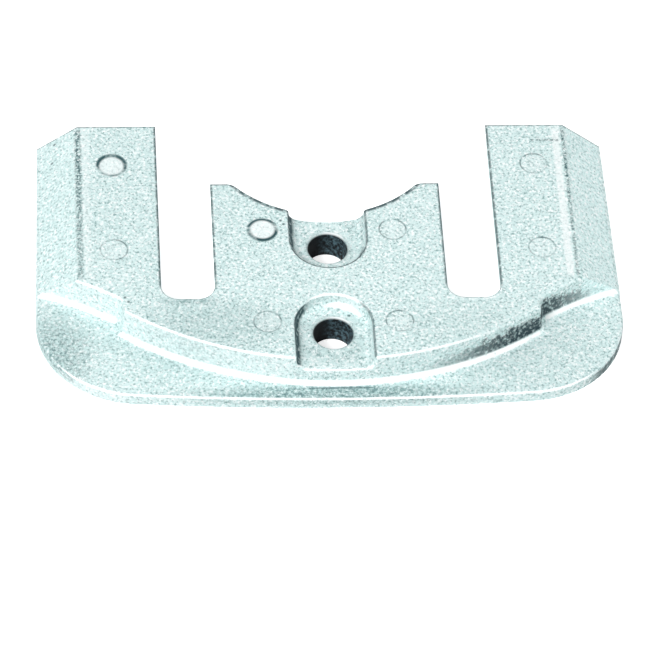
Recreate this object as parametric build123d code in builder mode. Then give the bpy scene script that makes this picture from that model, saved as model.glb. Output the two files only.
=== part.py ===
from build123d import *
import os
from math import sqrt

os.makedirs("parts", exist_ok=True)

# Overall size of the casting, lying flat on its underside. X runs across it, +Y points to the
# far side with the two ears and +Z is up. The origin is the middle of the underside.
plate_depth = 120.0
flange_width = 206.0
ear_end_width = 202.6
plate_thickness = 16.0
edge_thickness = 4.6

# Front edge of the low flange, seen from above
front_bow = 5.5
front_corner_radius = 35.5

# Outer side of each ear, sloping from its crease down to the thin edge
slope_width = 14.3

# Step from the raised plate down to the flange. The setbacks run from the front edge to the
# foot of the step: its middle, the jogs beside it, the shoulders and the hips at the sides.
step_setback = 7.1
step_bow_radius = 125.6
step_draft = 5.0
step_cove_radius = 3.0
jog_spacing = 146.6
jog_setback = 35.7
jog_root_radius = 3.6
jog_nose_radius = 2.0
shoulder_spacing = 174.0
shoulder_setback = 43.6
hip_spacing = 204.4
hip_setback = 49.4

# Two slots from the far side, with a tongue between them that reaches past the upper bolt hole
# and has a scalloped end
slot_spacing = 99.66
slot_width = 18.45
slot_corner_radius = 6.0
slot_draft = 7.0
tongue_reach = 26.45
tongue_length = 54.5
tongue_corner_radius = 4.5
tongue_draft = 11.0
scallop_depth = 14.95
scallop_radius = 43.5

# Two bolt holes on the centre line, each in a recessed seat that is open at one end
hole_pitch = 40.0
lower_hole_setback = 24.9
hole_radius = 6.9
seat_radius = 13.4
seat_depth = 5.1
seat_draft = 6.0
seat_cove_radius = 3.0

# Round marks that the ejector pins left on the raised plate, set back from the ends of the ears
# and of the tongue
mark_radius = 4.76
faint_mark_depth = 0.15
deep_mark_depth = 0.35
proud_mark_height = 0.2
ear_mark_spacing = 150.2
ear_far_mark_setback = 19.3
ear_near_mark_setback = 60.0
tongue_mark_spacing = 45.8
tongue_far_mark_setback = 22.35
tongue_near_mark_setback = 65.55

# Rounding of the cast edges: the step, creases and seats, then the far side, then the flange
top_rounding = 1.2
far_rounding = 0.5
rim_rounding = 1.2
hole_chamfer = 0.7

# Cutting shapes run this far past the casting, and places this close count as the same
overrun = 15.0
near = 0.001

# Places worked out from the sizes above
front = -plate_depth / 2
back = plate_depth / 2
front_end = (flange_width / 2, front + front_bow)
ear_end = (ear_end_width / 2, back)
crease = ear_end_width / 2 - slope_width
step_foot = front + step_setback
jog = jog_spacing / 2
jog_root = front + jog_setback
jog_nose = step_foot + step_bow_radius - sqrt(step_bow_radius**2 - jog**2)
shoulder = (shoulder_spacing / 2, front + shoulder_setback)
hip = (hip_spacing / 2, front + hip_setback)
lower_hole = front + lower_hole_setback
upper_hole = lower_hole + hole_pitch
tongue_end = upper_hole + tongue_reach
tongue_corner = sqrt(scallop_depth * (2 * scallop_radius - scallop_depth))
scallop_bottom = tongue_end - scallop_depth
slot_floor = tongue_end - tongue_length
slot_middle = slot_spacing / 2
slot_outer = slot_middle + slot_width / 2
seat_floor = plate_thickness - seat_depth
ear_mark = ear_mark_spacing / 2
ear_far_mark = back - ear_far_mark_setback
ear_near_mark = back - ear_near_mark_setback
tongue_mark = tongue_mark_spacing / 2
tongue_far_mark = tongue_end - tongue_far_mark_setback
tongue_near_mark = tongue_end - tongue_near_mark_setback


def at_distance(distance):
    """Choose the corners that lie this far to either side of the centre line."""
    return lambda corner: abs(abs(corner.X) - distance) < near


def is_upright(face):
    """Choose the faces that stand square to the underside."""
    return abs(face.normal_at().Z) < near


def is_step(shape):
    """Choose the faces or edges of the step, and none of the front room's three outer sides."""
    return shape.center().Y > front and abs(shape.center().X) < past_hip.X - near


def is_tongue_end(face):
    """Choose the faces of the tongue's end, and none of the room's sides or its far wall."""
    return face.center().Y < back and abs(face.center().X) < slot_middle - near


# Room above the sloping side of each ear, drawn square to the ear's outer edge
side_run = (Vector(*front_end) - Vector(*ear_end)).normalized()
side_section = Plane(ear_end, x_dir=side_run.rotate(Axis.Z, 90), z_dir=side_run)

with BuildPart() as ear_bevels:
    with BuildSketch(side_section.offset(-overrun)):
        with BuildLine():
            Polyline(
                (-slope_width, plate_thickness),
                (0, edge_thickness),
                (overrun, edge_thickness),
                (overrun, plate_thickness + overrun),
                (-slope_width, plate_thickness + overrun),
                close=True,
            )
        make_face()
    extrude(amount=plate_depth + 2 * overrun)
    mirror(about=Plane.YZ)

# Room above the flange. Its back wall is the step, with drafted faces and a coved foot.
with BuildPart() as front_room:
    with BuildSketch(Plane.XY.offset(edge_thickness)) as room_plan:
        with BuildLine():
            TangentArc((0, step_foot), (jog, jog_nose), tangent=(1, 0))
            Line((jog, jog_nose), (jog, jog_root))
            hip_arc = ThreePointArc((jog, jog_root), shoulder, hip)
            past_hip = hip + overrun * (hip_arc % 1)
            Polyline(hip, past_hip, (past_hip.X, front - overrun), (0, front - overrun))
            mirror(about=Plane.YZ)
        make_face()
        jog_corners = room_plan.vertices().filter_by(at_distance(jog)).sort_by(Axis.Y)
        fillet(jog_corners[:2], jog_nose_radius)
        jog_corners = room_plan.vertices().filter_by(at_distance(jog)).sort_by(Axis.Y)
        fillet(jog_corners[-2:], jog_root_radius)
    extrude(amount=plate_thickness)
    step_faces = front_room.faces().filter_by(is_upright).filter_by(is_step)
    draft(step_faces, Plane.XY.offset(edge_thickness), -step_draft)
    foot_edges = front_room.faces().sort_by(Axis.Z)[0].edges().filter_by(is_step)
    fillet(foot_edges, step_cove_radius)

# Room of the two slots. Their walls lean back under the top of the plate.
with BuildPart() as slot_rooms:
    with BuildSketch(Plane.XY.offset(plate_thickness)) as slot_plan:
        with Locations((slot_middle, slot_floor)):
            Rectangle(slot_width, plate_depth, align=(Align.CENTER, Align.MIN))
        fillet(slot_plan.vertices().group_by(Axis.Y)[0], slot_corner_radius)
    extrude(amount=-plate_thickness)
    slot_walls = slot_rooms.faces().filter_by(is_upright).sort_by(Axis.Y)[:-1]
    draft(slot_walls, Plane.XY.offset(plate_thickness), slot_draft)
    mirror(about=Plane.YZ)

# Room beyond the tongue, from slot to slot. The tongue's end leans out towards its foot.
with BuildPart() as tongue_room:
    with BuildSketch(Plane.XY.offset(plate_thickness)) as tongue_plan:
        with BuildLine():
            left_corner, right_corner = (-tongue_corner, tongue_end), (tongue_corner, tongue_end)
            ThreePointArc(left_corner, (0, scallop_bottom), right_corner)
            Polyline(
                right_corner,
                (slot_middle, tongue_end),
                (slot_middle, back + overrun),
                (-slot_middle, back + overrun),
                (-slot_middle, tongue_end),
                left_corner,
            )
        make_face()
        fillet(tongue_plan.vertices().filter_by(at_distance(tongue_corner)), tongue_corner_radius)
    extrude(amount=-plate_thickness)
    tongue_walls = tongue_room.faces().filter_by(is_upright).filter_by(is_tongue_end)
    draft(tongue_walls, Plane.XY.offset(plate_thickness), -tongue_draft)


def is_far(edge):
    """Choose the top edges of the slots, of the tongue's end and of the ears' ends."""
    side, depth = abs(edge.center().X), edge.center().Y
    beside_seat = side > seat_radius + top_rounding and depth > slot_floor - near
    return beside_seat and (side < slot_outer + near or depth > back - near)


def is_slope_end(edge):
    """Choose the upper edges of a slope's far end."""
    return abs(edge.center().X) > crease - top_rounding and edge.center().Z > edge_thickness


def is_mouth(edge):
    """Choose the edges where a seat runs out through a wall."""
    in_seat = abs(edge.center().X) < seat_radius + top_rounding
    return in_seat and seat_floor - near < edge.center().Z < plate_thickness - near


def seat_room(hole, open_end):
    """Room above one bolt seat: round about its hole and straight to its open end."""
    with BuildPart() as room:
        with BuildSketch(Plane.XY.offset(plate_thickness)):
            with Locations((0, hole)):
                Circle(seat_radius)
            with Locations((0, (hole + open_end) / 2)):
                Rectangle(2 * seat_radius, abs(open_end - hole))
        extrude(amount=-seat_depth)
        mouth = (0, open_end, seat_floor)
        seat_walls = room.faces().filter_by(is_upright).sort_by_distance(mouth)[1:]
        draft(seat_walls, Plane.XY.offset(plate_thickness), -seat_draft)
        floor_edges = room.faces().sort_by(Axis.Z)[0].edges()
        fillet(floor_edges.sort_by_distance(mouth)[1:], seat_cove_radius)
    return room.part


lower_seat = seat_room(lower_hole, front - overrun)
upper_seat = seat_room(upper_hole, tongue_end)

with BuildPart() as anode_plate:
    # Solid blank with the outline of the whole casting
    with BuildSketch() as outline:
        with BuildLine():
            TangentArc((0, front), front_end, tangent=(1, 0))
            Polyline(front_end, ear_end, (0, back))
            mirror(about=Plane.YZ)
        make_face()
        fillet(outline.vertices().filter_by(at_distance(flange_width / 2)), front_corner_radius)
    extrude(amount=plate_thickness)

    # Sloping sides, low flange, slots with their tongue, and the two bolt seats
    add(ear_bevels.part, mode=Mode.SUBTRACT)
    add(front_room.part, mode=Mode.SUBTRACT)
    add(slot_rooms.part, mode=Mode.SUBTRACT)
    add(tongue_room.part, mode=Mode.SUBTRACT)
    add(lower_seat, mode=Mode.SUBTRACT)
    add(upper_seat, mode=Mode.SUBTRACT)

    # Rounded edges of the step, of the creases above the slopes and of the two seats
    top_edges = anode_plate.faces().sort_by(Axis.Z)[-1].edges()
    step_middle = (0, step_foot, (edge_thickness + seat_floor) / 2)
    step_wall = anode_plate.faces().sort_by_distance(step_middle)[0]
    near_edges = top_edges.filter_by(is_far, reverse=True) + step_wall.edges().filter_by(is_mouth)
    fillet(near_edges, top_rounding)

    # Finer rounding of the slots, of the tongue's end and of the ears' ends with their slopes
    top_edges = anode_plate.faces().sort_by(Axis.Z)[-1].edges()
    scallop_middle = (0, scallop_bottom, seat_floor / 2)
    scallop_wall = anode_plate.faces().sort_by_distance(scallop_middle)[0]
    slope_ends = anode_plate.faces().sort_by(Axis.Y)[-2:].edges().filter_by(is_slope_end)
    far_edges = top_edges.filter_by(is_far) + scallop_wall.edges().filter_by(is_mouth) + slope_ends
    fillet(far_edges, far_rounding)

    # Rounded rim of the flange, from hip to hip round the front
    flange_top = anode_plate.faces().filter_by(Axis.Z).sort_by_distance((0, front, edge_thickness))[0]
    upright_edges = anode_plate.faces().filter_by(is_upright).edges()
    fillet(flange_top.edges() & upright_edges, rim_rounding)

    # Bolt holes with broken upper edges
    with Locations((0, lower_hole), (0, upper_hole)):
        Hole(hole_radius)
    hole_rims = anode_plate.edges().filter_by(
        lambda edge: edge.geom_type == GeomType.CIRCLE
        and abs(edge.radius - hole_radius) < near
        and edge.center().Z > seat_floor - near
    )
    chamfer(hole_rims, hole_chamfer)

    # Ejector pin marks: six faint, one deep on the left ear, one standing proud by the upper seat
    with BuildSketch(Plane.XY.offset(plate_thickness)):
        with Locations(
            (ear_mark, ear_far_mark),
            (-ear_mark, ear_near_mark),
            (ear_mark, ear_near_mark),
            (tongue_mark, tongue_far_mark),
            (-tongue_mark, tongue_near_mark),
            (tongue_mark, tongue_near_mark),
        ):
            Circle(mark_radius)
    extrude(amount=-faint_mark_depth, mode=Mode.SUBTRACT)
    with BuildSketch(Plane.XY.offset(plate_thickness)):
        with Locations((-ear_mark, ear_far_mark)):
            Circle(mark_radius)
    extrude(amount=-deep_mark_depth, mode=Mode.SUBTRACT)
    with BuildSketch(Plane.XY.offset(plate_thickness)):
        with Locations((-tongue_mark, tongue_far_mark)):
            Circle(mark_radius)
    extrude(amount=proud_mark_height)

anode_plate.part.label = "anode_plate"
export_step(anode_plate.part, "parts/anode_plate.step")
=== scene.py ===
# %% [markdown]
# # A sacrificial anode plate
#
# The real object is one casting of bare, pale metal: a raised plate with two sloping ears, two open
# slots, a scalloped tongue, two bolt seats and a lower flange in front. The CAD model holds its
# whole shape, so this lesson is about giving that shape the fine edges and the surface of a casting
# and about showing it under plain studio light.

# %% Load the CAD model
import math

import bmesh
import bpy
from mathutils import Matrix, Vector


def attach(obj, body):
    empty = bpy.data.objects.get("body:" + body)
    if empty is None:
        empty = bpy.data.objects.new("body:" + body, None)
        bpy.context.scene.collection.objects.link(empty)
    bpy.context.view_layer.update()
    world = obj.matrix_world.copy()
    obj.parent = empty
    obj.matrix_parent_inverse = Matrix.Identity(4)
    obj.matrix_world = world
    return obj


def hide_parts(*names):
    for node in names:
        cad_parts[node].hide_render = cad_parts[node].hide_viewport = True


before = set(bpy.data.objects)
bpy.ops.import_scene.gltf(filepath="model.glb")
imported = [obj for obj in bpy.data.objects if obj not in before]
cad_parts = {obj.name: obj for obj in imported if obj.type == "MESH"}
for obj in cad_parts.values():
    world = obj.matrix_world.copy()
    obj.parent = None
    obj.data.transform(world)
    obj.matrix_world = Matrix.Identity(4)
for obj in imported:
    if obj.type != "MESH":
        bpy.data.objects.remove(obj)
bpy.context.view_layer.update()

# %% [markdown]
# ## Camera
#
# The photograph looks down at the front of the plate from about 48 degrees, from a little to the
# left and with the camera slightly turned about its own view. A long lens keeps the far ears
# almost as wide as the front. A camera could be made to track a target, but tracking can't turn it
# about its own view. So it is turned by three plain rotations and then moved back from the point
# that it looks at.

# %% Place the camera
camera_aim = Vector((-0.00172, -0.03814, 0.016))
camera_distance = 1.70766
camera_turn = math.radians(-5.834)
camera_height = math.radians(47.986)
camera_roll = math.radians(3.921)

camera = bpy.data.objects.new("camera", bpy.data.cameras.new("camera"))
bpy.context.scene.collection.objects.link(camera)
camera.data.sensor_width = 36.0
camera.data.lens = 270.76
camera.data.clip_end = 20.0
camera.matrix_world = (
    Matrix.Translation(camera_aim)
    @ Matrix.Rotation(camera_turn, 4, "Z")
    @ Matrix.Rotation(math.pi / 2 - camera_height, 4, "X")
    @ Matrix.Rotation(camera_roll, 4, "Z")
    @ Matrix.Translation((0, 0, camera_distance))
)
bpy.context.scene.camera = camera
print("camera at", [round(place, 3) for place in camera.matrix_world.translation])

# %% [markdown]
# ## The casting
#
# The casting could be modelled anew, but the CAD mesh already has its exact shape, down to the
# coves and the drafted walls. It is loose triangles with hard edges, though. On a copy of it, the
# doubled points are merged and the flat triangles are joined into whole faces, because a bevel
# only works along edges that faces share. All faces are then shaded smoothly.

# %% Copy the CAD mesh and join its flat triangles
merge_distance = 1e-6
flat_angle = math.radians(0.5)

cad_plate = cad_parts["anode_plate"]
rough_casting = bpy.data.objects.new("rough_casting", cad_plate.data.copy())
bpy.context.scene.collection.objects.link(rough_casting)

shape = bmesh.new()
shape.from_mesh(rough_casting.data)
bmesh.ops.remove_doubles(shape, verts=shape.verts, dist=merge_distance)
bmesh.ops.dissolve_limit(
    shape,
    angle_limit=flat_angle,
    verts=shape.verts,
    edges=shape.edges,
    use_dissolve_boundaries=False,
)
for face in shape.faces:
    face.smooth = True
open_edges = sum(not edge.is_manifold for edge in shape.edges)
shape.to_mesh(rough_casting.data)
shape.free()

old_normals = rough_casting.data.attributes.get("custom_normal")
if old_normals:
    rough_casting.data.attributes.remove(old_normals)
print("casting:", len(rough_casting.data.polygons), "faces,", open_edges, "open edges")

# %% [markdown]
# ## Fine edges
#
# No edge of a real casting is knife sharp, and each thin rounded edge catches a line of light. The
# material alone could fake that, but the mesh would stay sharp when it is used elsewhere. So a
# narrow bevel rounds what the CAD model leaves sharp, and weighted normals keep the flat faces
# flat beside the rounded ones.

# %% Round the edges that the CAD model leaves sharp
edge_width = 0.00025
edge_angle = math.radians(28)

edge_rounding = rough_casting.modifiers.new("edge_rounding", "BEVEL")
edge_rounding.width = edge_width
edge_rounding.segments = 2
edge_rounding.limit_method = "ANGLE"
edge_rounding.angle_limit = edge_angle
edge_rounding.use_clamp_overlap = True
edge_rounding.miter_outer = "MITER_ARC"

even_shading = rough_casting.modifiers.new("even_shading", "WEIGHTED_NORMAL")
even_shading.mode = "FACE_AREA"
even_shading.weight = 50
even_shading.keep_sharp = True
print("edges rounded by", 1000 * edge_width, "mm")

# %% [markdown]
# ## Which way the skin faces
#
# The material paints light and shade by the way the skin faces. Coves and roundings that face up
# and to the front get a painted highlight, and edges that face aside or away get painted shade.
# Each such place could be picked out by hand, but there are hundreds of narrow faces. So the
# finished mesh stores the way that each corner faces in an attribute, and the material tells one
# from the other. The modifiers are applied first, because the roundings only exist after them.

# %% Finish the mesh and store which way it faces
graph = bpy.context.evaluated_depsgraph_get()
finished_mesh = bpy.data.meshes.new_from_object(
    rough_casting.evaluated_get(graph), depsgraph=graph
)
bpy.data.objects.remove(rough_casting)

casting = bpy.data.objects.new("anode_casting", finished_mesh)
bpy.context.scene.collection.objects.link(casting)

facing = finished_mesh.attributes.new("facing", "FLOAT_VECTOR", "CORNER")
for corner, normal in zip(facing.data, finished_mesh.corner_normals):
    corner.vector = normal.vector

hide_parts("anode_plate")
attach(casting, "root")
print("finished casting:", len(finished_mesh.polygons), "faces")

# %% [markdown]
# ## Shader nodes
#
# The finish could be painted on a picture, but nodes stay sharp at any distance and need no file.
# It takes a few hundred of them, so small helpers add each node, feed its inputs and give back its
# output. A colour or a mask then reads like a short sum. The first two helpers serve the floor and
# the sky too.

# %% Helpers that add shader nodes
cast_metal = bpy.data.materials.new("cast_metal")
cast_metal.use_nodes = True
metal = cast_metal.node_tree


def feed(tree, socket, value):
    """Link a socket to a node's output, or set it to a plain value. None leaves it as it is."""
    if isinstance(value, bpy.types.NodeSocket):
        tree.links.new(value, socket)
    elif value is not None:
        socket.default_value = value


def add_node(tree, kind, label, *values, **settings):
    """Add a labelled node, set its properties and feed its inputs with numbers or outputs."""
    node = tree.nodes.new(kind)
    node.label = label
    for name, setting in settings.items():
        setattr(node, name, setting)
    for socket, value in zip(node.inputs, values):
        feed(tree, socket, value)
    return node


def maths(label, operation, *values):
    """Work out one number."""
    return add_node(metal, "ShaderNodeMath", label, *values, operation=operation).outputs[0]


print("metal starts with", len(metal.nodes), "nodes")

# %% [markdown]
# ## Place on the plate
#
# Every mark on the plate has its place, given in millimetres from the middle of the underside. The
# object's own coordinates give that place, and they stay right wherever the plate is moved to.
# World coordinates would not. The left and the right half are nearly alike, so the distance from
# the centre line serves both.

# %% Read the place on the plate
flange_top, seat_floor, plate_top = 4.6, 10.9, 16.0

object_place = add_node(metal, "ShaderNodeTexCoord", "place on the object").outputs["Object"]
place_in_mm = add_node(
    metal, "ShaderNodeVectorMath", "place in mm", object_place, operation="SCALE"
)
place_in_mm.inputs["Scale"].default_value = 1000.0
place_mm = place_in_mm.outputs["Vector"]
x_mm, y_mm, z_mm = add_node(metal, "ShaderNodeSeparateXYZ", "x, y and z in mm", place_mm).outputs
side_mm = maths("distance from the centre line", "ABSOLUTE", x_mm)
print("heights of the flange, the seats' floors and the top:", flange_top, seat_floor, plate_top)

# %% [markdown]
# ## Bare cast metal
#
# Bare sacrificial metal comes out of its mould pale and matt. Its skin is slightly porous, which
# shows as a fine grain of dark and bright specks less than a millimetre wide. Wider patches are a
# little darker or lighter, where the metal cooled at another speed. A single noise would give one
# size of mark only, so a wide one makes the patches and two fine ones make the specks.

# %% Mix the base colour
def cloud(label, size, detail=2.0, roughness=0.5, contrast=(0.3, 0.7)):
    """Make a soft noise with patches of a size in mm, stretched to the range 0 to 1."""
    node = add_node(metal, "ShaderNodeTexNoise", label, place_mm)
    feed(metal, node.inputs["Scale"], 1 / size)
    feed(metal, node.inputs["Detail"], detail)
    feed(metal, node.inputs["Roughness"], roughness)
    stretched = add_node(metal, "ShaderNodeMapRange", label, node.outputs["Fac"], *contrast)
    return stretched.outputs["Result"]


def tint(label, colour, mask, paint, blend="MIX"):
    """Lay a paint over a colour where the mask is."""
    node = add_node(metal, "ShaderNodeMix", label, data_type="RGBA", blend_type=blend)
    feed(metal, node.inputs["Factor"], mask)
    feed(metal, node.inputs[6], colour)
    feed(metal, node.inputs[7], paint)
    return node.outputs[2]


plain_metal = (0.70, 0.865, 0.86, 1)
dull_metal = (0.60, 0.77, 0.765, 1)
dark_speck = (0.21, 0.36, 0.36, 1)
bright_speck = (0.94, 1.0, 1.0, 1)

mottle = cloud("mottle", 5.0, detail=5.0, roughness=0.8)
dark_grain = cloud("dark grain", 0.95, roughness=0.7, contrast=(0.49, 0.68))
bright_grain = cloud("bright grain", 1.05, roughness=0.7, contrast=(0.50, 0.34))

colour = tint("mottled base", plain_metal, mottle, dull_metal)
colour = tint("dark specks", colour, dark_grain, dark_speck)
colour = tint("bright specks", colour, bright_grain, bright_speck)
print("base colour:", len(metal.nodes), "nodes")

# %% [markdown]
# ## Soft masks
#
# A mask is a number from 0 to 1 that says where a mark lies. Real marks have no hard outline, so
# each mask rises or falls softly along a measure, such as a height or a distance. Masks could be
# painted on the mesh, but a mask made of numbers is easy to move and widen. Multiplying masks
# keeps what all of them share. The first one keeps marks off the underside, where the plate lay
# flat.

# %% Make a soft mask and join masks
def blur_step(label, value, low, high):
    """Rise softly from 0 at low to 1 at high. A low above high gives a soft fall."""
    node = add_node(
        metal, "ShaderNodeMapRange", label, value, low, high, interpolation_type="SMOOTHSTEP"
    )
    return node.outputs["Result"]


def both(label, *masks):
    """Keep only where all the masks lie. A plain number among them sets how strong it is."""
    found = masks[0]
    for mask in masks[1:]:
        found = maths(label, "MULTIPLY", found, mask)
    return found


off_bottom = blur_step("off the underside", z_mm, 0.5, 2.5)
print("masks start with", off_bottom.node.label)

# %% [markdown]
# ## Wide patches
#
# Some wide areas of the skin are duller over a few centimetres. One of them, at the left slot's
# floor, is painted shade.
# Such patches could come from one more noise, but here each has a known place. A list gives each
# patch a middle, a half width and a half depth in mm, the height that it stays below, and how dull
# it is. The patches on the flange are kept off the raised plate by their height.

# %% Lay the wide patches
dull_paint = (0.38, 0.49, 0.49, 1)
on_flange, on_seat, on_plate = 5.5, 11.5, 17.0
patch_list = (
    # name, x, y, half width, half depth, height, dullness
    ("front left corner", -98, -38, 16, 24, on_flange, 0.50),
    ("front middle", 0, -57, 60, 5, on_flange, 0.75),
    ("plate beside the left slot", -42, -36, 36, 15, on_plate, 0.36),
    ("plate beside the right slot", 44, -36, 32, 14, on_plate, 0.15),
    ("left ear and tongue", -60, 20, 45, 60, on_plate, 0.06),
    ("front right", 80, -45, 40, 22, on_flange, 0.08),
    ("lower seat", 0, -44, 13, 8, on_seat, 0.25),
    # painted shade along the near end of the left slot
    ("shade at the left slot's floor", -49.8, -24.2, 12, 2.6, on_plate, 0.55),
)
patch_strength = 1.4
patch_unevenness = cloud("uneven patches", 1.5, detail=5.0, roughness=0.8, contrast=(0.36, 0.58))


def vector_maths(label, operation, output, *values):
    """Work out one vector or one number from vectors."""
    node = add_node(metal, "ShaderNodeVectorMath", label, *values, operation=operation)
    return node.outputs[output]


def patch(label, x, y, half_width, half_depth, height):
    """Mask a soft oval, seen from above, below a height."""
    offset = vector_maths(label, "SUBTRACT", "Vector", place_mm, (x, y, 0))
    shrink = (1 / half_width, 1 / half_depth, 0)
    scaled = vector_maths(label, "MULTIPLY", "Vector", offset, shrink)
    oval = blur_step(label, vector_maths(label, "LENGTH", "Value", scaled), 1.1, 0.3)
    return both(label, oval, blur_step(label, z_mm, height, height - 0.5), off_bottom)


for name, x, y, half_width, half_depth, height, dullness in patch_list:
    area = patch(name, x, y, half_width, half_depth, height)
    mask = both(name, area, patch_unevenness, patch_strength * dullness)
    colour = tint(name, colour, mask, dull_paint, blend="MULTIPLY")
print("wide patches:", len(patch_list))

# %% [markdown]
# ## Coarse specks
#
# At the front left corner and along the middle of the front, the flange has coarser and darker
# specks, where the metal is more porous. A stronger grain all over would spoil the smooth top, so
# a coarser noise is laid there only, in the same soft ovals as the patches.

# %% Speckle the flange
speck_paint = (0.10, 0.19, 0.20, 1)
speckled_list = (
    # name, x, y, half width, half depth, strength
    ("speckled corner", -96, -42, 17, 22, 0.75),
    ("speckled front middle", 0, -57, 50, 4, 0.55),
)
coarse_specks = cloud("coarse specks", 1.5, detail=4.0, roughness=0.8, contrast=(0.50, 0.62))

for name, x, y, half_width, half_depth, strength in speckled_list:
    area = patch(name, x, y, half_width, half_depth, on_flange)
    colour = tint(name, colour, both(name, area, coarse_specks, strength), speck_paint)
print("speckled places:", len(speckled_list))

# %% [markdown]
# ## Painted light on the slopes
#
# The ears' outer slopes get painted light, so that they are a little paler than the flat top, the
# right one more than the left one. Mixing in white would hide the grain there, so a little
# brightness is added to the colour instead.

# %% Lift the slopes
slope_x = 88.0
slope_painted_light = (0.06, 0.09, 0.09, 1)

slopes = both(
    "slopes",
    blur_step("on the slopes", side_mm, slope_x - 0.5, slope_x + 0.5),
    blur_step("above the flange", z_mm, flange_top + 0.4, flange_top + 1.4),
)
more_light_right = maths(
    "more on the right", "MULTIPLY_ADD", blur_step("right side", x_mm, 0, 1), 0.6, 0.4
)
colour = tint(
    "paler slopes", colour, both("paler slopes", slopes, more_light_right), slope_painted_light, blend="ADD"
)
print("slopes start", slope_x, "mm from the centre line")

# %% [markdown]
# ## Masks by facing
#
# The attribute that was stored on the mesh comes back here as a direction. Comparing it with a
# chosen direction tells how far the skin faces that way, and a soft step turns that into a mask.
# No edge has to be traced by hand, because a rounding is found by the way it faces.

# %% Read which way the skin faces
skin_facing = add_node(
    metal, "ShaderNodeAttribute", "which way it faces", attribute_name="facing"
).outputs["Vector"]


def toward(label, direction):
    """Tell how far the skin faces a direction, from -1 to 1."""
    aim = Vector(direction).normalized()
    return vector_maths(label, "DOT_PRODUCT", "Value", skin_facing, aim)


def facing_mask(label, direction, trace, full):
    """Mask the skin by how far it faces a direction, from a first trace to full strength."""
    return blur_step(label, toward(label, direction), trace, full)


def either(label, *masks):
    """Keep wherever one of the masks lies."""
    found = masks[0]
    for mask in masks[1:]:
        found = maths(label, "MAXIMUM", found, mask)
    return found


print("facing read from the attribute:", skin_facing.node.attribute_name)

# %% [markdown]
# ## Painted highlights on the coves and roundings
#
# The cove at the foot of the step and the roundings that face the front get a painted highlight.
# Light alone would draw these lines too faintly, so they get a brighter colour. The right half
# faces the light less, so it needs an aim of its own, and its upper edge fades out towards the jog.

# %% Paint highlights on the coves and the roundings
pale_metal_and_highlight = (0.97, 1.0, 1.0, 1)
front_left_up = (-0.25, -0.66, 0.70)
front_right_up = (0.10, -0.69, 0.70)
front_left = (-0.45, -0.85, 0.1)
cove_top = 8.0
jog_x = 66.0

highlight_right = facing_mask("faces front and up", front_right_up, 0.89, 0.965)
right_cove = both("right cove", highlight_right, blur_step("low", z_mm, cove_top + 1, cove_top))
right_edge = both(
    "right edge",
    highlight_right,
    blur_step("high", z_mm, plate_top - 3, plate_top - 2),
    blur_step("fades to the jog", x_mm, jog_x, jog_x - 30),
    0.85,
)
highlight_left = facing_mask("faces front, left and up", front_left_up, 0.88, 0.975)
uneven_highlight = cloud("uneven painted highlight", 2.5, detail=3.0, contrast=(0.20, 0.42))
painted_highlight = both(
    "painted highlight", either("painted_highlight", highlight_left, right_cove, right_edge), uneven_highlight
)
colour = tint("bright coves and roundings", colour, painted_highlight, pale_metal_and_highlight)

# Painted light: walls that face front and left are made paler, as if lit from the left.
lit_left_wall = facing_mask("left half of the step", front_left, 0.88, 0.97)
colour = tint("paler left walls", colour, both("paler left walls", lit_left_wall, 0.20), pale_metal_and_highlight)
print("painted highlights on coves up to", cove_top, "mm high")

# %% [markdown]
# ## Painted shade on the walls
#
# What faces aside or away gets painted shade. It lies on the left sides of the two bolt seats and
# just under the upper edges of the slots, the tongue and the ears' ends. Lower down, these walls
# are plain metal. A thin line of painted shade also follows the right edges of the seats. Shadow
# alone would leave these places grey, so a nearly black painted shade is laid on them, chosen by
# facing, height and place together, and broken up by a noise.

# %% Darken the seats' sides and the upper edges
painted_shade_black = (0.012, 0.05, 0.06, 1)
lit_side = (-0.06, -0.5, 0.85)
front_side = (-0.5, -0.86, 0)
left_up = (-0.75, -0.1, 0.66)
step_y = -22.0
seat_x = 14.0
slots_x = 62.0

unlit = facing_mask("turned away from the light", lit_side, 0.82, 0.52)
not_front = facing_mask("not to the front", front_side, 0.48, 0.10)
top_edge = blur_step("near the top", z_mm, plate_top - 2.4, plate_top - 0.8)
past_step = both("behind the step", blur_step("behind", y_mm, step_y - 1, step_y), top_edge)
at_seat = both(
    "beside the seats",
    blur_step("beside the seats", side_mm, seat_x + 1, seat_x),
    blur_step("above the seats' floors", z_mm, seat_floor - 0.5, seat_floor + 0.7),
)
shaded_plate_wall = both(
    "plate walls",
    unlit,
    not_front,
    either("walls", past_step, at_seat),
    blur_step("up to the slots", side_mm, slots_x + 1, slots_x),
)
shaded_back_edge = both("back edges", facing_mask("faces back", (0, 1, 0), 0.04, 0.30), top_edge)
broken_shade = cloud("broken shade", 1.8, detail=3.0, contrast=(0.20, 0.46))
painted_wall_shade = both("dark walls", either("walls", shaded_plate_wall, shaded_back_edge), broken_shade)
colour = tint("dark walls", colour, painted_wall_shade, painted_shade_black)

seat_edge_shade = both(
    "seats' right edges",
    facing_mask("faces left and up", left_up, 0.80, 0.95),
    top_edge,
    blur_step("beside the seats", side_mm, seat_x + 2, seat_x + 1),
    broken_shade,
    0.65,
)
colour = tint("seats' right edges", colour, seat_edge_shade, painted_shade_black)
print("painted shade within", seat_x, "mm of the centre line and along the upper edges")

# %% [markdown]
# ## Painted shade along the far edges
#
# The same painted shade reaches a little way over the edges that face away: the ears' and the
# tongue's ends, the rim of the scallop and the sides of the slots. On the flat top all skin faces
# the same way, so facing can't find these lines. They follow the outline, and each is measured from
# it.

# %% Draw the dark lines along the far edges
def away_from(label, value, middle):
    """Measure how far a value is from a middle value."""
    return maths(label, "ABSOLUTE", maths(label, "SUBTRACT", value, middle))


def gap(label, point, centre):
    """Measure the distance in mm from a centre."""
    return vector_maths(label, "DISTANCE", "Value", point, centre)


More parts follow.
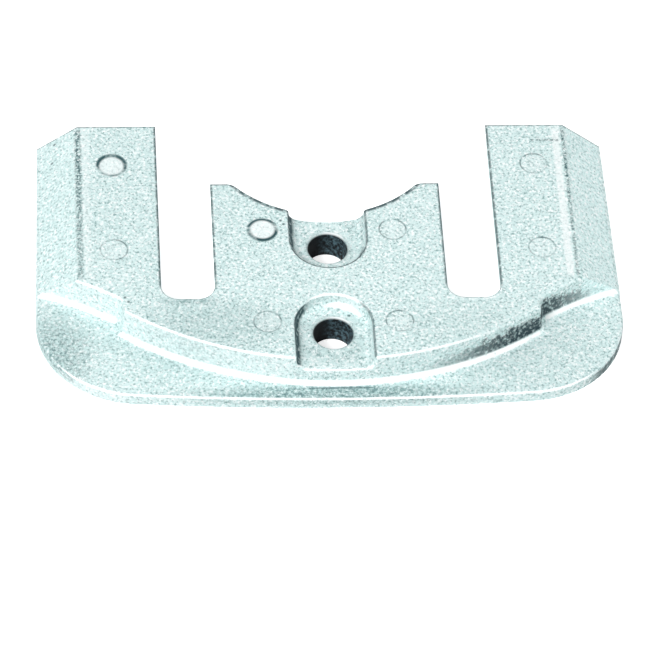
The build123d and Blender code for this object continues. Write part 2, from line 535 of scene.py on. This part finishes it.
ear_end_y, tongue_end_y = 60.0, 31.35
tongue_side_x, ear_side_x, slot_floor_y = 40.6, 59.05, -23.15
slot_middle_x = (tongue_side_x + ear_side_x) / 2
slot_half_width = (ear_side_x - tongue_side_x) / 2
scallop_middle_y, scallop_radius = 59.9, 43.5
line_width = 1.1


def end_line(label, end_y):
    """Mask a line just inside an end that faces back."""
    return blur_step(label, y_mm, end_y - line_width, end_y - 0.2 * line_width)


flat_place = add_node(
    metal, "ShaderNodeCombineXYZ", "seen from above", x_mm, y_mm, 0.0
).outputs["Vector"]
from_slot = away_from("distance from the slots' middle", side_mm, slot_middle_x)
slot_line = both(
    "slots' sides",
    blur_step("slots' sides", from_slot, slot_half_width + 1.1, slot_half_width + 0.5),
    blur_step("past the slots' floors", y_mm, slot_floor_y + 3, slot_floor_y + 8),
    0.85,
)
on_tongue = blur_step("on the tongue", side_mm, tongue_side_x + 1, tongue_side_x)
tongue_line = both("tongue's end", on_tongue, end_line("tongue's end", tongue_end_y))
from_scallop = gap("distance from the scallop's middle", flat_place, (0, scallop_middle_y, 0))
rim_outside = scallop_radius + 1.7 * line_width
rim_inside = scallop_radius + 0.7 * line_width
scallop_line = both(
    "scallop's rim",
    on_tongue,
    blur_step("scallop's rim", from_scallop, rim_outside, rim_inside),
    blur_step("tongue's top", z_mm, plate_top - 4, plate_top - 3),
)
ear_line = end_line("ears' ends", ear_end_y)
dashes = cloud("dashes", 2.6, detail=4.0, roughness=0.7, contrast=(0.34, 0.50))
far_edge_shade = both(
    "far lines",
    either("far lines", ear_line, tongue_line, scallop_line, slot_line),
    facing_mask("upper faces", (0, 0, 1), 0.15, 0.5),
    dashes,
    0.95,
)
colour = tint("dark far edges", colour, far_edge_shade, painted_shade_black)
print("far lines", line_width, "mm wide")

# %% [markdown]
# ## Painted shade on the step
#
# Along the right half of the step, painted shade lies at the foot of the wall. It starts near the
# middle of that side, grows towards the jog and thins out along the hip. A rendered shadow could
# never be this dark and this broken, so the shade is painted. Its top is a height that changes
# along the step, only steep skin takes it, and a noise eats into it, the more so at its upper edge.

# %% Paint shade at the foot of the step
step_shade_black = (0.006, 0.03, 0.04, 1)
shade_start, shade_full, hip_start, shade_end = 22.0, 64.0, 73.0, 103.0
shade_low_top, shade_growth = 8.2, 5.0
step_back_y = -13.0

grown = blur_step("grows to the jog", x_mm, shade_start, shade_full)
thinned = blur_step("thins along the hip", x_mm, shade_end, hip_start)
growth = both("growth", grown, thinned)
shade_top = maths("height of the stain", "MULTIPLY_ADD", growth, shade_growth, shade_low_top)
ragged = cloud("ragged edge", 2.4, detail=5.0, roughness=0.75, contrast=(0.32, 0.62))
ragged_height = maths("ragged height", "MULTIPLY_ADD", ragged, 4.5, -2.2)
shade_height = maths("below the stain's top", "SUBTRACT", shade_top, z_mm)
shade_depth = maths("ragged top", "ADD", shade_height, ragged_height)
step_shade = both(
    "step_shade",
    blur_step("shaded", shade_depth, -0.3, 1.8),
    facing_mask("steep wall", (0, 0, 1), 0.62, 0.30),
    blur_step("on the step", y_mm, step_back_y, step_back_y - 2),
    blur_step("above the flange", z_mm, flange_top + 0.2, flange_top + 1.0),
    grown,
    thinned,
    cloud("thin shade", 1.3, detail=4.0, roughness=0.7, contrast=(0.28, 0.50)),
)
colour = tint("step_shade", colour, step_shade, step_shade_black)
print("stain from", shade_start, "to", shade_end, "mm right of the middle")

# %% [markdown]
# ## Painted shade on the rim's right side
#
# Round the front right corner, the flange's thin rim turns away from the light as well. It gets a
# broken line of painted shade up to the flange's top. How far it faces right and how low it lies
# are joined before the soft step, so that the line ends softly both ways.

# %% Darken the right side of the rim
rim_right = (0.92, -0.35, 0)
corner_y = -18.0

rim_side = both(
    "right side of the rim",
    toward("faces right", rim_right),
    blur_step("rim", z_mm, flange_top, flange_top - 0.8),
)
rim_shade_line = both(
    "rim's dark line",
    blur_step("turned right", rim_side, 0.80, 0.96),
    blur_step("front corner", y_mm, corner_y, corner_y - 8),
    dashes,
    0.85,
)
colour = tint("dark rim", colour, rim_shade_line, painted_shade_black)
print("dark rim in front of", corner_y, "mm")

# %% [markdown]
# ## Dotted creases
#
# Where each ear bends down into its slope, the mould has left a dotted dark line, with a paler
# strip on the flat beside it. It is strongest near the ears' ends. The left line is the wider one,
# and the right strip is the paler one. Each dot could be cut into the mesh, but the dots are only
# a dark skin, so a fine noise breaks a painted line into dots.

# %% Draw the dotted creases
crease_dark = (0.02, 0.09, 0.10, 1)
crease_list = (
    # name, x, half width of the line, paleness of the strip
    ("left", -86.9, 1.00, 0.22),
    ("right", 86.6, 0.55, 0.55),
)
crease_near, crease_far = -12.0, 56.0
strip_offset = 2.6

dots = cloud("dots", 1.0, roughness=0.8, contrast=(0.42, 0.58))
along = both(
    "along the ear",
    blur_step("near end", y_mm, crease_near - 3, crease_near),
    blur_step("far end", y_mm, crease_far + 4, crease_far),
    blur_step("upper side", z_mm, plate_top - 4, plate_top - 3),
)
fading = maths(
    "fades to the front", "MULTIPLY_ADD", blur_step("farther", y_mm, -15, 45), 0.35, 0.65
)
for name, line_x, half_line, paleness in crease_list:
    strip_x = line_x - math.copysign(strip_offset, line_x)
    strip = blur_step(name + " strip", away_from(name + " strip", x_mm, strip_x), 1.9, 0.7)
    colour = tint(
        name + " strip", colour, both(name + " strip", strip, along, paleness), pale_metal_and_highlight
    )
    line_gap = away_from(name + " crease", x_mm, line_x)
    line = blur_step(name + " crease", line_gap, 1.7 * half_line, 0.4 * half_line)
    colour = tint(
        name + " crease", colour, both(name + " crease", line, along, fading, dots), crease_dark
    )
print("creases:", len(crease_list))

# %% [markdown]
# ## Pin marks
#
# Eight pins push the casting out of its mould, and each leaves a round mark with a thin dark ring.
# The mesh has the marks, but they are only tenths of a millimetre deep, so the shade in their rims
# is painted. Folding the plate about its centre line leaves four marks to measure the distance
# from.
# Two of the marks on the left have darker, wider painted rings and brighter faces.

# %% Draw the rings of the pin marks
ring_dark = (0.02, 0.08, 0.09, 1)
pin_radius = 4.76
ring_width = 0.50
pin_places = ((75.1, 40.7), (75.1, 0.0), (22.9, 9.0), (22.9, -34.2))
deep_pins = ((-75.1, 40.7), (-22.9, 9.0))
deep_reach = 6.0


def nearest(label, point, centres):
    """Measure the distance in mm to the nearest of some centres."""
    distance = gap(label, point, (*centres[0], 0))
    for centre in centres[1:]:
        distance = maths(label, "MINIMUM", distance, gap(label, point, (*centre, 0)))
    return distance


folded = add_node(
    metal, "ShaderNodeCombineXYZ", "folded to one side", side_mm, y_mm, 0.0
).outputs["Vector"]
pin_gap = nearest("nearest pin", folded, pin_places)
deep_gap = nearest("nearest deep pin", flat_place, deep_pins)
deep = blur_step("deep marks", deep_gap, deep_reach + 1, deep_reach)
on_top = blur_step("on the top face", z_mm, plate_top - 0.5, plate_top - 0.3)
rim_gap = away_from("distance from a pin's rim", pin_gap, pin_radius)

thin_ring = blur_step("thin ring", rim_gap, ring_width, 0.0)
wide_ring = both("wide ring", deep, blur_step("wide ring", rim_gap, 1.15, 0.35))
ring_breakup = cloud("broken rings", 3.0, contrast=(0.25, 0.80))
uneven = cloud("thick and thin rings", 4.5, detail=3.0, contrast=(0.30, 0.55))
ring_shade = either("ring shade", ring_breakup, both("deep rings", deep, uneven))
rings = both("rings", either("ring", thin_ring, wide_ring), on_top, ring_shade)
colour = tint("rings", colour, rings, ring_dark)

pin_face = blur_step("inside a pin", pin_gap, pin_radius, pin_radius - 0.8)
pin_paleness = maths("how pale", "MULTIPLY_ADD", deep, 0.40, 0.12)
colour = tint(
    "pale pin faces", colour, both("pale pin faces", pin_face, on_top, pin_paleness), pale_metal_and_highlight
)
print("pin marks:", 2 * len(pin_places))

# %% [markdown]
# ## Pits and two faint lines
#
# A few single pits and nicks are larger than the grain. A noise would scatter them anywhere, so
# each is a dark dot at its own place. A dotted dark line is also drawn across the far end of the
# right ear, and a thin dark line at the foot of the step, in the middle of the front.

# %% Dot the pits and draw the faint lines
pit_places = (
    (-71.8, -22.6), (-70.6, -24.6), (-95.0, 57.0), (-96.0, 48.4),
    (-15.4, 11.7), (5.9, -27.2), (-16.4, 13.4),
)
pit_radius = 0.75
ear_mark_x, ear_mark_y, ear_mark_half = 80.0, 52.1, 4.5
foot_x, foot_y, foot_half = 2.0, -55.0, 5.0

pit_gap = nearest("nearest pit", flat_place, pit_places)
pits = both("pits", blur_step("pits", pit_gap, pit_radius, 0.25 * pit_radius), off_bottom, 0.85)
colour = tint("pits", colour, pits, ring_dark)

ear_mark_along = away_from("along the ear's mark", x_mm, ear_mark_x)
ear_mark = both(
    "mark on the right ear",
    blur_step("ear's mark", away_from("ear's mark", y_mm, ear_mark_y), 0.9, 0.2),
    blur_step("its length", ear_mark_along, ear_mark_half + 1.5, ear_mark_half),
    on_top,
    dots,
    0.75,
)
colour = tint("mark on the right ear", colour, ear_mark, crease_dark)

foot_along = away_from("along the foot", x_mm, foot_x)
foot_line = both(
    "foot of the step",
    blur_step("foot of the step", away_from("foot of the step", y_mm, foot_y), 0.5, 0.1),
    blur_step("middle part", foot_along, foot_half + 11, foot_half),
    0.7,
    blur_step("low", z_mm, flange_top + 1.4, flange_top + 0.4),
    off_bottom,
)
colour = tint("foot of the step", colour, foot_line, crease_dark)
print("pits:", len(pit_places))

# %% [markdown]
# ## Bolt holes
#
# The holes get painted shade: they are almost black, with painted light as grey metal where the
# wall faces left and to the front. Darkness in a hole could come from the light alone, but with a
# pale floor under it the wall would look far too bright. Folding the plate again, half way between
# the two holes, leaves one axis to measure from.

# %% Blacken the bolt holes
hole_shade_black = (0.001, 0.004, 0.006, 1)
hole_lit_grey = (0.18, 0.32, 0.38, 1)
hole_middle_y = -15.1
half_pitch = 20.0
hole_reach = 7.2
rim_reach = 8.6

from_middle = away_from("distance from between the holes", y_mm, hole_middle_y)
to_axis = add_node(
    metal, "ShaderNodeCombineXYZ", "folded to one hole", side_mm, from_middle, 0.0
).outputs["Vector"]
hole_gap = gap("distance from a hole's axis", to_axis, (0, half_pitch, 0))

near_rim = both(
    "rims of the holes",
    blur_step("near a hole", hole_gap, rim_reach, rim_reach - 0.9),
    off_bottom,
    0.35,
)
colour = tint("duller rims", colour, near_rim, dull_paint)

lit_patches = both(
    "grey patches",
    cloud("rough wall", 1.3, detail=4.0, roughness=0.7, contrast=(0.44, 0.70)),
    facing_mask("faces left and front", (-0.8, -0.6, 0), 0.0, 1.0),
)
painted_hole_shade = tint("painted shade in the holes", hole_shade_black, lit_patches, hole_lit_grey)
in_hole = both(
    "in a hole",
    blur_step("near the axis", hole_gap, hole_reach + 0.4, hole_reach),
    blur_step("deep", z_mm, seat_floor - 0.2, seat_floor - 0.8),
)
colour = tint("holes", colour, in_hole, painted_hole_shade)
print("bolt holes", 2 * half_pitch, "mm apart")

# %% [markdown]
# ## Finish the metal
#
# The metal is matt, and its skin of oxide hides most of the shine, so it is only a little
# metallic. The bright grain also drives a very low relief, less than a tenth of a millimetre high,
# so that the grain breaks up the light as well. Cutting such a grain into the mesh would take
# millions of faces for nothing that the outline shows.

# %% Join the colour and the relief to the surface
metallic, roughness = 0.15, 0.6
relief_height, relief_strength = 0.00006, 0.5

surface = metal.nodes["Principled BSDF"]
surface.inputs["Metallic"].default_value = metallic
surface.inputs["Roughness"].default_value = roughness
feed(metal, surface.inputs["Base Color"], colour)

relief = add_node(metal, "ShaderNodeBump", "grain relief")
feed(metal, relief.inputs["Strength"], relief_strength)
feed(metal, relief.inputs["Distance"], relief_height)
feed(metal, relief.inputs["Height"], bright_grain)
feed(metal, surface.inputs["Normal"], relief.outputs["Normal"])

finished_mesh.materials.clear()
finished_mesh.materials.append(cast_metal)
print("cast metal:", len(metal.nodes), "nodes")

# %% [markdown]
# ## Floor
#
# The plate lies on a plain pale floor. Stronger lamps could turn the floor white, but they would
# bleach the metal as well. So the floor shines a little for the camera only: it looks white, still
# holds the plate's shadow, and sends no extra light onto the metal. It lies a tenth of a
# millimetre below the plate, so that the two faces don't mix.

# %% Make the floor
floor_size = 6.0
floor_drop = 0.0001
floor_grey = 0.85
floor_lift = 0.7

shape = bmesh.new()
bmesh.ops.create_grid(shape, x_segments=1, y_segments=1, size=floor_size / 2)
bmesh.ops.translate(shape, verts=shape.verts, vec=(0, 0, -floor_drop))
floor = bpy.data.objects.new("floor", bpy.data.meshes.new("floor"))
shape.to_mesh(floor.data)
shape.free()
bpy.context.scene.collection.objects.link(floor)

floor_paint = bpy.data.materials.new("floor_paint")
floor_paint.use_nodes = True
floor_tree = floor_paint.node_tree
floor_surface = floor_tree.nodes["Principled BSDF"]
floor_surface.inputs["Base Color"].default_value = (floor_grey, floor_grey, floor_grey, 1)
floor_surface.inputs["Roughness"].default_value = 0.9
floor_surface.inputs["Specular IOR Level"].default_value = 0.0
floor_surface.inputs["Emission Color"].default_value = (1, 1, 1, 1)
ray = add_node(floor_tree, "ShaderNodeLightPath", "kind of ray")
lift = add_node(
    floor_tree, "ShaderNodeMath", "lift for the camera",
    ray.outputs["Is Camera Ray"], floor_lift, operation="MULTIPLY",
)
feed(floor_tree, floor_surface.inputs["Emission Strength"], lift.outputs["Value"])
floor.data.materials.append(floor_paint)
print("floor:", floor_size, "m wide")

# %% [markdown]
# ## Sky
#
# The room round the plate is plain white. A full white room would also flood the plate with light
# and hide its shape. So it is full white only where it is seen, straight, in a reflection or
# through something, and it gives a soft, weaker light to everything else.

# %% Paint the room white
ambient_strength = 0.40

world = bpy.data.worlds.new("studio")
bpy.context.scene.world = world
world.use_nodes = True
world_tree = world.node_tree
background = world_tree.nodes["Background"]
background.inputs["Color"].default_value = (1, 1, 1, 1)
ray = add_node(world_tree, "ShaderNodeLightPath", "kind of ray")
direct = add_node(
    world_tree, "ShaderNodeMath", "camera or glossy",
    ray.outputs["Is Camera Ray"], ray.outputs["Is Glossy Ray"], operation="MAXIMUM",
)
seen = add_node(
    world_tree, "ShaderNodeMath", "or transmission",
    direct.outputs["Value"], ray.outputs["Is Transmission Ray"], operation="MAXIMUM",
)
strength = add_node(
    world_tree, "ShaderNodeMapRange", "white where it is seen",
    seen.outputs["Value"], 0.0, 1.0, ambient_strength, 1.0,
)
feed(world_tree, background.inputs["Strength"], strength.outputs["Result"])
print("ambient light:", ambient_strength)

# %% [markdown]
# ## Lamps
#
# Four square soft boxes light the plate. One lamp would leave the far sides black, and an even
# light all round would hide the shape. So the key light stands in front, to the left and above,
# where it keeps slopes that face left pale and lets steep walls that face right go dark. The three
# others are weak and fill the shadows from the sides and from behind.

# %% Hang the soft lights
softbox_list = (
    # name, place in m, side in m, power in W
    ("key_light", (-0.73, -1.05, 1.27), 0.5, 22.0),
    ("right_fill", (1.56, 0.0, 0.9), 0.8, 7.0),
    ("left_fill", (-1.56, 0.0, 0.9), 0.8, 3.0),
    ("back_fill", (0.0, 1.69, 0.62), 0.8, 3.0),
)

for name, place, size, power in softbox_list:
    lamp = bpy.data.lights.new(name, "AREA")
    lamp.shape = "SQUARE"
    lamp.size = size
    lamp.energy = power
    softbox = bpy.data.objects.new(name, lamp)
    softbox.location = place
    softbox.rotation_euler = (-Vector(place)).to_track_quat("-Z", "Y").to_euler()
    bpy.context.scene.collection.objects.link(softbox)
bpy.context.scene.view_settings.view_transform = "Standard"
print("lights:", [name for name, *_ in softbox_list])
